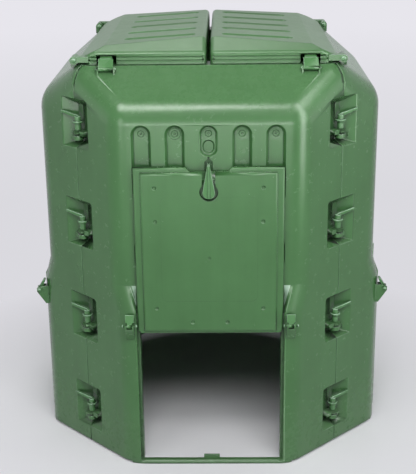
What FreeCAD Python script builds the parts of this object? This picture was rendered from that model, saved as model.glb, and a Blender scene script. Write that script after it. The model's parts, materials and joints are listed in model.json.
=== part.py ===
import FreeCAD, Part
import math
import os

from FreeCAD import Vector

# Compost bin of moulded plastic. Millimetres, +Z up, origin on the ground under the middle of the bin.
# The front wall faces -Y. Its door is raised; the other three doors are closed.

# Body
WIDTH = 800.0               # across two opposite upper walls
JAMB_WIDTH = 39.5           # from the door's rebate to the bend at the 45 degree corner
RIM_HEIGHT = 948.0
SHOULDER_DROP = 80.0        # the walls bend inwards this far below the rim
SHOULDER_RUN = 100.0        # how far the shoulder leans in
EDGE_ROUND = 75.0
WALL = 34.0                 # double-skinned wall, outside to inside
SKIN = 3.0
SEAM_GAP = 0.6
SEAM_GROOVE = 2.5
CORNER_LIFT = 5.0           # the cut corners stand clear of the ground

# Lower part of each wall, stepped out to carry the door jambs
STEP_OUT = 17.0
STEP_HEIGHT = 396.0
STEP_RISE = 61.0

# Door and its opening
DOOR_HALF = 168.5
DOOR_HEIGHT = 398.0
DOOR_FLANGE = 15.5
DOOR_FLANGE_DEPTH = 13.0
DOOR_PLATE_DEPTH = 20.0
DOOR_SKIN = 4.0
DOOR_TRAVEL = 330.0
DOOR_GAP = 1.0              # door to wall face and to sill
DOOR_SIDE_GAP = 2.0
DOOR_OVERLAP = 4.0          # door past the opening on each side
DOOR_TOP_LAP = 26.0         # closed door past the opening's head
DOOR_NOTCH_HALF = 42.0
DOOR_NOTCH_DROP = 10.0
DOOR_CORNER = 8.0
DOOR_ROUND = 6.0
DOOR_FLANGE_ROUND = 5.0
SILL_HEIGHT = 12.0
SILL_DEPTH = 12.0
SILL_STOP_HALF = 19.0       # stop behind the middle of the closed door's foot
SILL_STOP_RISE = 3.0
SILL_STOP_DEPTH = 6.0
OPENING_ROUND = 14.0
EAR_LENGTH = 40.0
EAR_START = 8.0
EAR_REACH = 4.0
EAR_DEPTH = 6.0
EAR_GAP = 0.5
DOOR_PANEL_DEPTH = 0.6      # faint sunk panel in the door's face
DOOR_PANEL_SIDE = 44.0
DOOR_PANEL_FOOT = 75.0
DOOR_PANEL_HEAD = 56.0
DOOR_PANEL_ROUND = 14.0
DIMPLE_RADIUS = 5.0
DIMPLE_DEPTH = 3.0
# Door dimples, as shares of the door's half width and height
DIMPLES = ((0.718, 0.889), (0.718, 0.691), (0, 0.472), (0.724, 0.166), (0.237, 0.080))

# Rocker lever in the door's top edge
LEVER_HUB_DROP = 55.0       # hub centre below the door's upper edge
LEVER_HUB_RADIUS = 14.0
LEVER_TIP_RADIUS = 3.0
LEVER_LENGTH = 62.0         # hub centre to tip centre
LEVER_PROUD = 5.0
LEVER_SUNK = 5.0
LEVER_GAP = 1.5
LEVER_RIDGE = 2.0
LEVER_DISH_RADIUS = 21.0
LEVER_PIVOT_RISE = 30.0
LEVER_PIVOT_RADIUS = 2.0
LEVER_PIVOT_HALF = 15.0
NOSE_LENGTH = 10.0
NOSE_ENTRY = 4.5            # how far the lever's nose reaches into the wall's channel
CHANNEL_HALF = 9.0
CHANNEL_DEPTH = 6.0
CHANNEL_MARGIN = 10.0

# Grooves and dishes in the upper wall
GROOVE_PITCH = 74.5
GROOVE_RADIUS = 22.0
GROOVE_FLOOR_RADIUS = 16.0
GROOVE_DEPTH = 10.0
GROOVE_TOP_DROP = 34.0      # below the shoulder
GROOVE_LENGTH = 182.0
CENTRE_GROOVE_LENGTH = 75.0
LOW_GROOVE_DROP = 282.0
LOW_GROOVE_LENGTH = 77.0
DISH_RADII = (14.0, 8.0, 3.0)   # steps of the round dish in a groove's upper end
DISH_STEP = 2.0
DISH_TAPER = 1.5
CENTRE_SLOT_REACH = 2.0     # inner slot in the lower end of the middle groove
CENTRE_SLOT_RADIUS = 13.5
CENTRE_SLOT_FLOOR_RADIUS = 11.0
CENTRE_SLOT_DEPTH = 4.0

# Latch pockets across each seam, four to a corner
POCKET_COUNT = 4
POCKET_FIRST_Z = 101.0
POCKET_TOP_DROP = 50.0      # top pocket's middle below the shoulder
POCKET_DEPTH = 25.0
POCKET_STEEP_SIDE = 46.0    # from the seam to the pocket's edge on the front or back wall
POCKET_RAMP_SIDE = 49.0     # from the seam to the pocket's edge on the left or right wall
POCKET_STEEP_RUN = 4.0
POCKET_RAMP_RUN = 33.0
POCKET_HALF_HEIGHT = 58.0
POCKET_TOP_RUN = 18.0
POCKET_BOTTOM_RUN = 13.0
POCKET_CORNER = 9.0         # radius of the corners on the steep side

# Corner pins and the two lugs that each one joins
PIN_SEAM_OFFSET = 4.0
PIN_INSET = 11.0            # pin axis behind the corner's face
PIN_RADIUS = 5.0
PIN_FIT = 0.05
PIN_SHANK_RADIUS = 8.0
PIN_SHANK_LENGTH = 18.0
PIN_COLLAR_RADIUS = 12.0
PIN_COLLAR_LENGTH = 4.5
PIN_HUB_RADIUS = 7.5
PIN_HUB_LENGTH = 11.0
PIN_TAIL = 3.0
PIN_REST_ANGLE = 18.0       # lever stands this far off the corner's face
PIN_LEVER_LENGTH = 45.0
PIN_LEVER_RISE = 11.0
PIN_LEVER_HEIGHT = 5.5
PIN_LEVER_WIDTH = 7.0
LUG_RADIUS = 12.5
LUG_HEIGHT = 10.3
LUG_GAP = 0.3
LUG_TOP_DROP = 19.0         # top lug's upper face below the pocket's middle
LUG_WEB = 14.0

# Door clips on the jambs
CLIP_INSET = 15.5           # clip's middle on the jamb, from the door's rebate
CLIP_WIDTH = 20.0
CLIP_BARREL_WIDTH = 12.0
CLIP_SIDE_GAP = 0.3
CLIP_PIN_RADIUS = 2.5
CLIP_PIN_HALF = 15.0
CLIP_FIT = 0.05
CLIP_PIN_DROP = 27.0        # pin below the top of the jamb's upright face
CLIP_PIN_OUT = 14.0         # pin in front of the jamb
CLIP_BARREL_RADIUS = 5.5
CLIP_NOSE = 7.0
CLIP_FOOT_DROP = 38.0
CLIP_ROOT = 12.0            # how far the bracket is let into the jamb
CLIP_CHEEK_RISE = 8.0
CLIP_FLAP_LENGTH = 24.0
CLIP_FLAP_THICKNESS = 4.5
CLIP_FLAP_GAP = 0.3

# Lid of two flaps
LID_HALF_GAP = 4.0
LID_EDGE = 10.0             # lid skirt inside the rim's outer edge
LID_SEAT_GAP = 0.3
LID_SKIRT = 27.0
LID_OUTER_SKIRT = 14.0
LID_RIDGE = 55.0            # lid height along the middle
LID_BREAK_RISE = 40.0       # lid height where the outer slope starts
LID_OUTER_SLOPE = 59.0      # width of the outer slope
LID_FACET_RUN = 60.0
LID_FACET_RISE = 30.0
LID_CORNER = 25.0
LID_ROUND = 11.0
LID_SKIN = 5.0
LID_TOP = 12.0
LID_LINE_DEPTH = 1.2
LID_LINE_HEIGHT = 1.6
LID_LINE_PITCH = 8.0
LID_LINES = 2
LID_GROOVES = 5
LID_GROOVE_PITCH = 96.0
LID_GROOVE_RADIUS = 15.0
LID_GROOVE_FLOOR_RADIUS = 9.0
LID_GROOVE_DEPTH = 6.0
LID_GROOVE_START = 29.0
LID_GROOVE_END = 197.0

# Lid hinges on the left and right walls
HINGE_OUT = 4.0             # hinge axis outside the rim's edge
HINGE_RISE = 10.0
HINGE_RADIUS = 9.0
HINGE_PIN_RADIUS = 4.0
HINGE_FIT = 0.05
HINGE_WIDTH = 21.0
HINGE_SIDE_GAP = 0.4
HINGE_ROOT = 34.0

# Lid catches on the front and back walls
CATCH_INSET = 26.0          # catch's middle, from midway between the jamb's edge and the rim's corner
CATCH_WIDTH = 33.0
CATCH_NOSE_WIDTH = 26.0
CATCH_NOTCH = 45.0
CATCH_NOTCH_RISE = 22.0
CATCH_OUT = 16.0            # catch pin outside the rim's edge
CATCH_DROP = 5.0            # catch pin below the rim
CATCH_BARREL_RADIUS = 5.0
CATCH_PIN_RADIUS = 2.2
CATCH_FIT = 0.05
CATCH_EAR = 4.0
CATCH_SIDE_GAP = 0.4
CATCH_EAR_ROOT = 14.0
CATCH_THICKNESS = 5.0
CATCH_RISE = 20.0
CATCH_SHOULDER = 12.0
CATCH_ENTRY = 3.0           # how far the nose reaches into the lid's notch

# Building
CUT_MARGIN = 1.0            # how far a cutter starts outside what it cuts
TOUCH = 1e-6
ROUND_TOLERANCE = 0.001

# Derived places
HALF = WIDTH / 2
JAMB_HALF = DOOR_HALF + DOOR_SIDE_GAP
DIAGONAL = HALF + JAMB_HALF + JAMB_WIDTH
ROOT_HALF = math.sqrt(0.5)
SHOULDER_HEIGHT = RIM_HEIGHT - SHOULDER_DROP
RIM_HALF = HALF - SHOULDER_RUN
JAMB_FACE = HALF + STEP_OUT
OPENING_HALF = DOOR_HALF - DOOR_OVERLAP
DOOR_BACK = HALF + DOOR_GAP
DOOR_CLOSED_Z = SILL_HEIGHT + DOOR_GAP
DOOR_RAISED_Z = DOOR_CLOSED_Z + DOOR_TRAVEL
OPENING_TOP = DOOR_CLOSED_Z + DOOR_HEIGHT - DOOR_TOP_LAP
LEVER_HUB_Z = DOOR_HEIGHT - LEVER_HUB_DROP
LEVER_PIVOT_OUT = DOOR_BACK + DOOR_PLATE_DEPTH - LEVER_SUNK + LEVER_PIVOT_RADIUS
LEVER_TIP_Z = LEVER_HUB_Z + LEVER_LENGTH + LEVER_TIP_RADIUS
STEP_TOP = STEP_HEIGHT + STEP_RISE
LID_BASE = RIM_HEIGHT + LID_SEAT_GAP
LID_HALF = RIM_HALF - LID_EDGE
LID_OUTER = RIM_HALF - LID_EDGE + HINGE_OUT
HINGE_X = RIM_HALF + HINGE_OUT
HINGE_Z = RIM_HEIGHT + HINGE_RISE
CATCH_X = (RIM_HALF + JAMB_HALF + JAMB_WIDTH) / 2 - CATCH_INSET
CATCH_Y = RIM_HALF + CATCH_OUT
CATCH_Z = RIM_HEIGHT - CATCH_DROP
CLIP_X = JAMB_HALF + CLIP_INSET
CLIP_Y = JAMB_FACE + CLIP_PIN_OUT
CLIP_Z = STEP_HEIGHT - CLIP_PIN_DROP
FAR = 2 * WIDTH

WALL_TURNS = {"front": 0, "right": 90, "back": 180, "left": 270}
CORNERS = {"front_right": (1, -1), "front_left": (-1, -1), "back_right": (1, 1), "back_left": (-1, 1)}
UP = Vector(0, 0, 1)
ORIGIN = Vector(0, 0, 0)


def box(x0, x1, y0, y1, z0, z1):
    return Part.makeBox(x1 - x0, y1 - y0, z1 - z0, Vector(x0, y0, z0))


def prism(points, direction):
    """Extrude the polygon through points."""
    return Part.Face(Part.makePolygon(points + points[:1])).extrude(direction)


def rod(radius, start, end):
    axis = end - start
    return Part.makeCylinder(radius, axis.Length, start, axis)


def cross_rod(radius, x, half, out, z):
    """A rod across the front, centred on x."""
    return rod(radius, Vector(x - half, -out, z), Vector(x + half, -out, z))


def turned(shape, degrees):
    """A copy turned about the bin's upright axis."""
    copy = shape.copy()
    copy.rotate(ORIGIN, UP, degrees)
    return copy


def moved(shape, x, y, z):
    copy = shape.copy()
    copy.translate(Vector(x, y, z))
    return copy


def mirrored_x(shape):
    return shape.mirror(ORIGIN, Vector(1, 0, 0))


def mirrored_y(shape):
    return shape.mirror(ORIGIN, Vector(0, 1, 0))


def joined(shapes):
    return shapes[0].multiFuse(shapes[1:]).removeSplitter()


def inset(points, distance):
    """Move every side of a convex outline, listed anticlockwise as (a, b) pairs, inwards."""
    sides = []
    for (a0, b0), (a1, b1) in zip(points, points[1:] + points[:1]):
        length = math.hypot(a1 - a0, b1 - b0)
        na = (b1 - b0) / length
        nb = -(a1 - a0) / length
        sides.append((na, nb, na * a0 + nb * b0 - distance))
    corners = []
    for (na, nb, nc), (ma, mb, mc) in zip(sides[-1:] + sides[:-1], sides):
        cross = na * mb - nb * ma
        corners.append(((nc * mb - mc * nb) / cross, (na * mc - ma * nc) / cross))
    return corners


def crossed(plan, side_x, side_y, distance):
    """Solid common to a plan (x, y) and two side outlines (x, z) and (y, z), every face moved inwards."""
    upright = prism([Vector(a, b, -FAR) for a, b in inset(plan, distance)], Vector(0, 0, 2 * FAR))
    across = prism([Vector(a, -FAR, b) for a, b in inset(side_x, distance)], Vector(0, 2 * FAR, 0))
    along = prism([Vector(-FAR, a, b) for a, b in inset(side_y, distance)], Vector(2 * FAR, 0, 0))
    return upright.common(across).common(along)


def rounded(core, radius):
    """Grow a convex solid by radius, which rounds all its edges."""
    grown = core.makeOffsetShape(radius, ROUND_TOLERANCE, join=0)
    return Part.Solid(grown.Shells[0])


def slot_wire(centre, reach, radius, across, along):
    """Round-ended slot outline about centre, reaching both ways along one axis."""
    end = centre + along * reach
    start = centre - along * reach
    arcs = [
        Part.Arc(end + across * radius, end + along * radius, end - across * radius).toShape(),
        Part.LineSegment(end - across * radius, start - across * radius).toShape(),
        Part.Arc(start - across * radius, start - along * radius, start + across * radius).toShape(),
        Part.LineSegment(start + across * radius, end + across * radius).toShape(),
    ]
    return Part.Wire(arcs)


def tapered_slot(centre, reach, radius, floor_radius, depth, across, along):
    """Cutter for a slot whose sides lean in; it starts one depth above the face, which centre lies on."""
    inward = across.cross(along)
    outer = slot_wire(centre - inward * depth, reach, 2 * radius - floor_radius, across, along)
    floor = slot_wire(centre + inward * depth, reach, floor_radius, across, along)
    return Part.makeLoft([outer, floor], True, True)


def octagon(half):
    flat = DIAGONAL - half
    return [(half, -flat), (half, flat), (flat, half), (-flat, half),
            (-half, flat), (-half, -flat), (-flat, -half), (flat, -half)]


def hull(half, bend, run, rise, distance, top):
    """Eight-sided body, upright to bend and leaning in above it, every face moved inwards by distance."""
    peak = half - run * (top - bend) / rise
    side = [(half, -FAR), (half, bend), (peak, top), (-peak, top), (-half, bend), (-half, -FAR)]
    return crossed(octagon(half), side, side, distance)


def upper_hull(distance):
    return hull(HALF, SHOULDER_HEIGHT, SHOULDER_RUN, SHOULDER_DROP, distance, RIM_HEIGHT + SHOULDER_DROP)


def lower_hull(distance):
    return hull(JAMB_FACE, STEP_HEIGHT, STEP_OUT, STEP_RISE, distance, STEP_TOP + 2 * STEP_RISE)


def outer_body(skin):
    """The bin's outside, or the same surface one skin further in."""
    upper = rounded(upper_hull(EDGE_ROUND), EDGE_ROUND - skin)
    lower = rounded(lower_hull(EDGE_ROUND), EDGE_ROUND - skin)
    upper = upper.common(box(-FAR, FAR, -FAR, FAR, STEP_TOP, RIM_HEIGHT - skin))
    lower = lower.common(box(-FAR, FAR, -FAR, FAR, skin, STEP_TOP))
    return upper.fuse(lower)


def wall_wedge(gap):
    """The quarter of the plan that belongs to the front wall."""
    apex = gap / 2 / ROOT_HALF
    below = -CUT_MARGIN
    points = [Vector(0, -apex, below), Vector(-FAR, -FAR - apex, below), Vector(FAR, -FAR - apex, below)]
    return prism(points, Vector(0, 0, FAR))


def corner_point(along, depth, z):
    """A point at the front right corner: along the cut face from its seam, and depth behind it."""
    seam = DIAGONAL / 2
    return Vector(seam + (along - depth) * ROOT_HALF, -seam + (along + depth) * ROOT_HALF, z)


def corner_block(along0, along1, depth0, depth1, z0, z1):
    points = [corner_point(along0, depth0, z0), corner_point(along1, depth0, z0),
              corner_point(along1, depth1, z0), corner_point(along0, depth1, z0)]
    return prism(points, Vector(0, 0, z1 - z0))


def pocket_heights():
    pitch = (SHOULDER_HEIGHT - POCKET_TOP_DROP - POCKET_FIRST_Z) / (POCKET_COUNT - 1)
    return [POCKET_FIRST_Z + pitch * i for i in range(POCKET_COUNT)]


def pocket(z, grow):
    """Cutter for one latch pocket at the front right corner: steep on one side, a ramp on the other."""
    def outline(depth):
        share = depth / POCKET_DEPTH
        steep = -POCKET_STEEP_SIDE + POCKET_STEEP_RUN * share - grow
        ramp = POCKET_RAMP_SIDE - POCKET_RAMP_RUN * share + grow
        top = z + POCKET_HALF_HEIGHT - POCKET_TOP_RUN * share + grow
        bottom = z - POCKET_HALF_HEIGHT + POCKET_BOTTOM_RUN * share - grow
        side = steep + POCKET_CORNER
        high = top - POCKET_CORNER
        low = bottom + POCKET_CORNER
        turn = POCKET_CORNER * (1 - ROOT_HALF)

        def at(along, height):
            return corner_point(along, depth, height)

        return Part.Wire([
            Part.LineSegment(at(side, bottom), at(ramp, bottom)).toShape(),
            Part.LineSegment(at(ramp, bottom), at(ramp, top)).toShape(),
            Part.LineSegment(at(ramp, top), at(side, top)).toShape(),
            Part.Arc(at(side, top), at(steep + turn, top - turn), at(steep, high)).toShape(),
            Part.LineSegment(at(steep, high), at(steep, low)).toShape(),
            Part.Arc(at(steep, low), at(steep + turn, bottom + turn), at(side, bottom)).toShape(),
        ])

    return Part.makeLoft([outline(-POCKET_DEPTH / 2), outline(POCKET_DEPTH + grow)], True, True)


def pin_axis(z):
    return corner_point(PIN_SEAM_OFFSET, PIN_INSET, z)


def upper_lug(z):
    """The lug on the front or back wall."""
    top = z - LUG_TOP_DROP
    ring = rod(LUG_RADIUS, pin_axis(top - LUG_HEIGHT), pin_axis(top))
    root = PIN_SEAM_OFFSET - LUG_RADIUS - LUG_WEB
    web = corner_block(root, -SEAM_GAP - LUG_GAP, PIN_INSET - LUG_RADIUS / 2, POCKET_DEPTH + SKIN / 2,
                       top - LUG_HEIGHT, top)
    return ring.fuse(web)


def lower_lug(z):
    """The lug on the left or right wall, just under the other."""
    top = z - LUG_TOP_DROP - LUG_HEIGHT - LUG_GAP
    ring = rod(LUG_RADIUS, pin_axis(top - LUG_HEIGHT), pin_axis(top))
    web = corner_block(PIN_SEAM_OFFSET + LUG_RADIUS / 2, PIN_SEAM_OFFSET + LUG_RADIUS / 2 + LUG_WEB,
                       PIN_INSET - LUG_RADIUS / 2, POCKET_DEPTH + SKIN / 2, top - LUG_HEIGHT, top)
    return ring.fuse(web)


def pin_bore(z):
    return rod(PIN_RADIUS + PIN_FIT, pin_axis(z - POCKET_HALF_HEIGHT + POCKET_BOTTOM_RUN), pin_axis(z))


def groove_cutters():
    """Tapered grooves and dishes of the front wall, and the channel for the door lever's nose."""
    across = Vector(-1, 0, 0)
    cutters = []

    def groove(x, top, length):
        reach = length / 2 - GROOVE_RADIUS
        centre = Vector(x, -HALF, top - length / 2)
        cutters.append(tapered_slot(centre, reach, GROOVE_RADIUS, GROOVE_FLOOR_RADIUS, GROOVE_DEPTH,
                                    across, UP))

    def dish(x, z):
        for step, radius in enumerate(DISH_RADII):
            mouth = Vector(x, -HALF + GROOVE_DEPTH + (step - 1) * DISH_STEP, z)
            cutters.append(Part.makeCone(radius + DISH_TAPER, radius - DISH_TAPER, 2 * DISH_STEP, mouth,
                                         Vector(0, 1, 0)))

    top = SHOULDER_HEIGHT - GROOVE_TOP_DROP
    for step in (-2, -1, 1, 2):
        groove(step * GROOVE_PITCH, top, GROOVE_LENGTH)
        groove(step * GROOVE_PITCH, top - LOW_GROOVE_DROP + GROOVE_RADIUS, LOW_GROOVE_LENGTH)
        dish(step * GROOVE_PITCH, top - GROOVE_RADIUS)
    groove(0, top, CENTRE_GROOVE_LENGTH)
    dish(0, top - GROOVE_RADIUS)
    slot_z = top - CENTRE_GROOVE_LENGTH + GROOVE_RADIUS + CENTRE_SLOT_REACH
    slot_centre = Vector(0, -HALF + GROOVE_DEPTH, slot_z)
    cutters.append(tapered_slot(slot_centre, CENTRE_SLOT_REACH, CENTRE_SLOT_RADIUS, CENTRE_SLOT_FLOOR_RADIUS,
                                CENTRE_SLOT_DEPTH, across, UP))
    low = DOOR_CLOSED_Z + LEVER_TIP_Z - NOSE_LENGTH - CHANNEL_MARGIN
    high = DOOR_RAISED_Z + LEVER_TIP_Z
    outline = [(-CHANNEL_HALF, low), (CHANNEL_HALF, low), (CHANNEL_HALF, high), (0, high + CHANNEL_HALF),
               (-CHANNEL_HALF, high)]
    mouth = [Vector(x, -HALF - CUT_MARGIN, z) for x, z in outline]
    cutters.append(prism(mouth, Vector(0, CHANNEL_DEPTH + CUT_MARGIN, 0)))
    return cutters


def doorway_cutters():
    """Rebate, opening, the jambs' guide slots and the space behind the sill."""
    rebate = box(-JAMB_HALF, JAMB_HALF, -FAR, -HALF, SILL_HEIGHT, STEP_TOP + STEP_RISE)
    opening = box(-OPENING_HALF, OPENING_HALF, -HALF - STEP_OUT, -HALF + 2 * WALL, SILL_HEIGHT, OPENING_TOP)

    def at_head(middle):
        return abs(middle.z - OPENING_TOP) < TOUCH and abs(abs(middle.x) - OPENING_HALF) < TOUCH

    head = [edge for edge in opening.Edges if at_head(edge.CenterOfMass)]
    opening = opening.makeFillet(OPENING_ROUND, head)
    slot_top = DOOR_RAISED_Z + EAR_START + EAR_LENGTH + DOOR_GAP
    reach = DOOR_HALF + EAR_REACH + DOOR_SIDE_GAP
    slots = box(-reach, reach, -DOOR_BACK - EAR_DEPTH - EAR_GAP, -DOOR_BACK + EAR_GAP, SILL_HEIGHT, slot_top)
    behind_sill = box(-OPENING_HALF, OPENING_HALF, -JAMB_FACE + SILL_DEPTH, -HALF + 2 * WALL, -CUT_MARGIN,
                      SILL_HEIGHT + CUT_MARGIN)
    return [rebate, opening, slots, behind_sill]


def sill_stop():
    """Tongue behind the sill, with a lip that keeps the door's foot from being pushed in."""
    back = -HALF + DOOR_GAP + SILL_STOP_DEPTH
    tongue = box(-SILL_STOP_HALF, SILL_STOP_HALF, -JAMB_FACE + SILL_DEPTH / 2, back, 0, SILL_HEIGHT)
    lip = box(-SILL_STOP_HALF, SILL_STOP_HALF, -HALF + DOOR_GAP, back, 0, SILL_HEIGHT + SILL_STOP_RISE)
    return tongue.fuse(lip)


def clip_bracket(x):
    """Wedge moulded on the jamb, forked at its top for the door clip."""
    half = CLIP_WIDTH / 2
    nose = CLIP_Y + CLIP_NOSE
    root = -JAMB_FACE + CLIP_ROOT
    outline = [Vector(x - half, root, CLIP_Z - CLIP_FOOT_DROP),
               Vector(x - half, -JAMB_FACE, CLIP_Z - CLIP_FOOT_DROP),
               Vector(x - half, -nose, CLIP_Z - CLIP_NOSE),
               Vector(x - half, -nose, CLIP_Z + CLIP_BARREL_RADIUS / 2),
               Vector(x - half, -CLIP_Y + CLIP_BARREL_RADIUS, CLIP_Z + CLIP_CHEEK_RISE),
               Vector(x - half, root, CLIP_Z + CLIP_CHEEK_RISE)]
    wedge = prism(outline, Vector(CLIP_WIDTH, 0, 0))
    fork = CLIP_BARREL_WIDTH / 2 + CLIP_SIDE_GAP
    clear = CLIP_BARREL_RADIUS + CLIP_SIDE_GAP
    slot = box(x - fork, x + fork, -nose - CUT_MARGIN, -JAMB_FACE, CLIP_Z - clear,
               CLIP_Z + CLIP_CHEEK_RISE + CUT_MARGIN)
    bore = cross_rod(CLIP_PIN_RADIUS + CLIP_FIT, x, half + CUT_MARGIN, CLIP_Y, CLIP_Z)
    return wedge.cut(slot).cut(bore)


def catch_ears(x):
    """Two ears on the shoulder that carry a lid catch's pin."""
    ears = []
    inner = CATCH_WIDTH / 2 + CATCH_SIDE_GAP
    for start in (x - inner - CATCH_EAR, x + inner):
        ring = cross_rod(CATCH_BARREL_RADIUS, start + CATCH_EAR / 2, CATCH_EAR / 2, CATCH_Y, CATCH_Z)
        web = box(start, start + CATCH_EAR, -CATCH_Y - CATCH_BARREL_RADIUS, -CATCH_Y + CATCH_BARREL_RADIUS,
                  CATCH_Z - CATCH_EAR_ROOT, CATCH_Z)
        ears.append(ring.fuse(web))
    bore = cross_rod(CATCH_PIN_RADIUS + CATCH_FIT, x, CATCH_WIDTH, CATCH_Y, CATCH_Z)
    return [ear.cut(bore) for ear in ears]


def hinge_place(y):
    return Vector(HINGE_X, y, HINGE_Z)


def hinge_lug(side):
    """Lug on the right wall's shoulder, inside the lid's own knuckle."""
    start = side * (LID_HALF - 2 * HINGE_WIDTH - HINGE_SIDE_GAP)
    end = side * (LID_HALF - HINGE_WIDTH - HINGE_SIDE_GAP)
    ring = rod(HINGE_RADIUS, hinge_place(start), hinge_place(end))
    root = box(HINGE_X - HINGE_RADIUS, HINGE_X + HINGE_RADIUS, min(start, end), max(start, end),
               HINGE_Z - 2 * HINGE_RADIUS, HINGE_Z)
    past = side * CUT_MARGIN
    bore = rod(HINGE_PIN_RADIUS + HINGE_FIT, hinge_place(start - past), hinge_place(end + past))
    return ring.fuse(root).cut(bore)


def wall_hollow():
    """Sealed space inside the front wall, clear of everything that is cut into it."""
    space = outer_body(SKIN).cut(upper_hull(WALL - SKIN)).common(wall_wedge(SEAM_GAP + 2 * SKIN))
    solid_half = JAMB_HALF + EAR_REACH + 2 * SKIN
    doorway = box(-solid_half, solid_half, -FAR, 0, -CUT_MARGIN, STEP_TOP)
    grooved = GROOVE_DEPTH + len(DISH_RADII) * DISH_STEP + SKIN
    panel = box(-2 * GROOVE_PITCH - GROOVE_RADIUS - SKIN, 2 * GROOVE_PITCH + GROOVE_RADIUS + SKIN, -FAR,
                -HALF + grooved, STEP_TOP - SKIN, SHOULDER_HEIGHT - GROOVE_TOP_DROP + SKIN)
    foot = box(-FAR, FAR, -FAR, 0, -CUT_MARGIN, DOOR_CLOSED_Z)
    return space.cut([doorway, panel, foot])


def seam_groove(side):
    """Small V along the seam at a front corner."""
    reach = SEAM_GROOVE
    outside = -reach / 2
    points = [corner_point(-reach, outside, 0), corner_point(reach, outside, 0), corner_point(0, reach, 0)]
    groove = prism(points, Vector(0, 0, RIM_HEIGHT))
    return groove if side > 0 else mirrored_x(groove)


def wall(kind):
    """A front-facing wall. Front and back walls are kind 'steep', left and right walls are kind 'ramp'."""
    blank = outer_body(0).cut(upper_hull(WALL)).common(wall_wedge(SEAM_GAP))
    heights = pocket_heights()
    turn = 0 if kind == "steep" else -WALL_TURNS["right"]
    lug = upper_lug if kind == "steep" else lower_lug
    pockets = [turned(pocket(z, 0), turn) for z in heights]
    grown = [turned(pocket(z, SKIN), turn) for z in heights]
    lugs = [turned(lug(z), turn) for z in heights]
    bores = [turned(pin_bore(z), turn) for z in heights]
    lift = box(DIAGONAL - JAMB_FACE, FAR, -FAR, -DIAGONAL + JAMB_FACE, -CUT_MARGIN, CORNER_LIFT)

    def both(shapes):
        return shapes + [mirrored_x(shape) for shape in shapes]

    hollow = wall_hollow().cut(both(grown))
    body = blank.cut(both(pockets) + groove_cutters() + doorway_cutters() + both([lift]))
    body = body.cut([seam_groove(1), seam_groove(-1)])
    body = body.cut(hollow)
    extras = both(lugs) + both([clip_bracket(CLIP_X)]) + [sill_stop()]
    if kind == "steep":
        extras += both(catch_ears(CATCH_X))
    else:
        extras += [turned(hinge_lug(side), turn) for side in (-1, 1)]
    return joined([body] + extras).cut(both(bores))


def lever_outline(grow, y, stretch):
    """Teardrop outline about the hub, in the door's own frame, grown outwards and stretched at its tip."""
    hub = LEVER_HUB_RADIUS + grow
    tip = LEVER_TIP_RADIUS + grow
    length = LEVER_LENGTH + stretch
    lean = math.asin((hub - tip) / length)
    base = Vector(0, y, LEVER_HUB_Z)
    end = Vector(0, y, LEVER_HUB_Z + length)
    right = Vector(math.cos(lean), 0, math.sin(lean))
    left = Vector(-math.cos(lean), 0, math.sin(lean))
    down = Vector(0, 0, -1)
    return Part.Face(Part.Wire([
        Part.Arc(base + left * hub, base + down * hub, base + right * hub).toShape(),
        Part.LineSegment(base + right * hub, end + right * tip).toShape(),
        Part.Arc(end + right * tip, end + UP * tip, end + left * tip).toShape(),
        Part.LineSegment(end + left * tip, base + left * hub).toShape(),
    ]))


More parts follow.
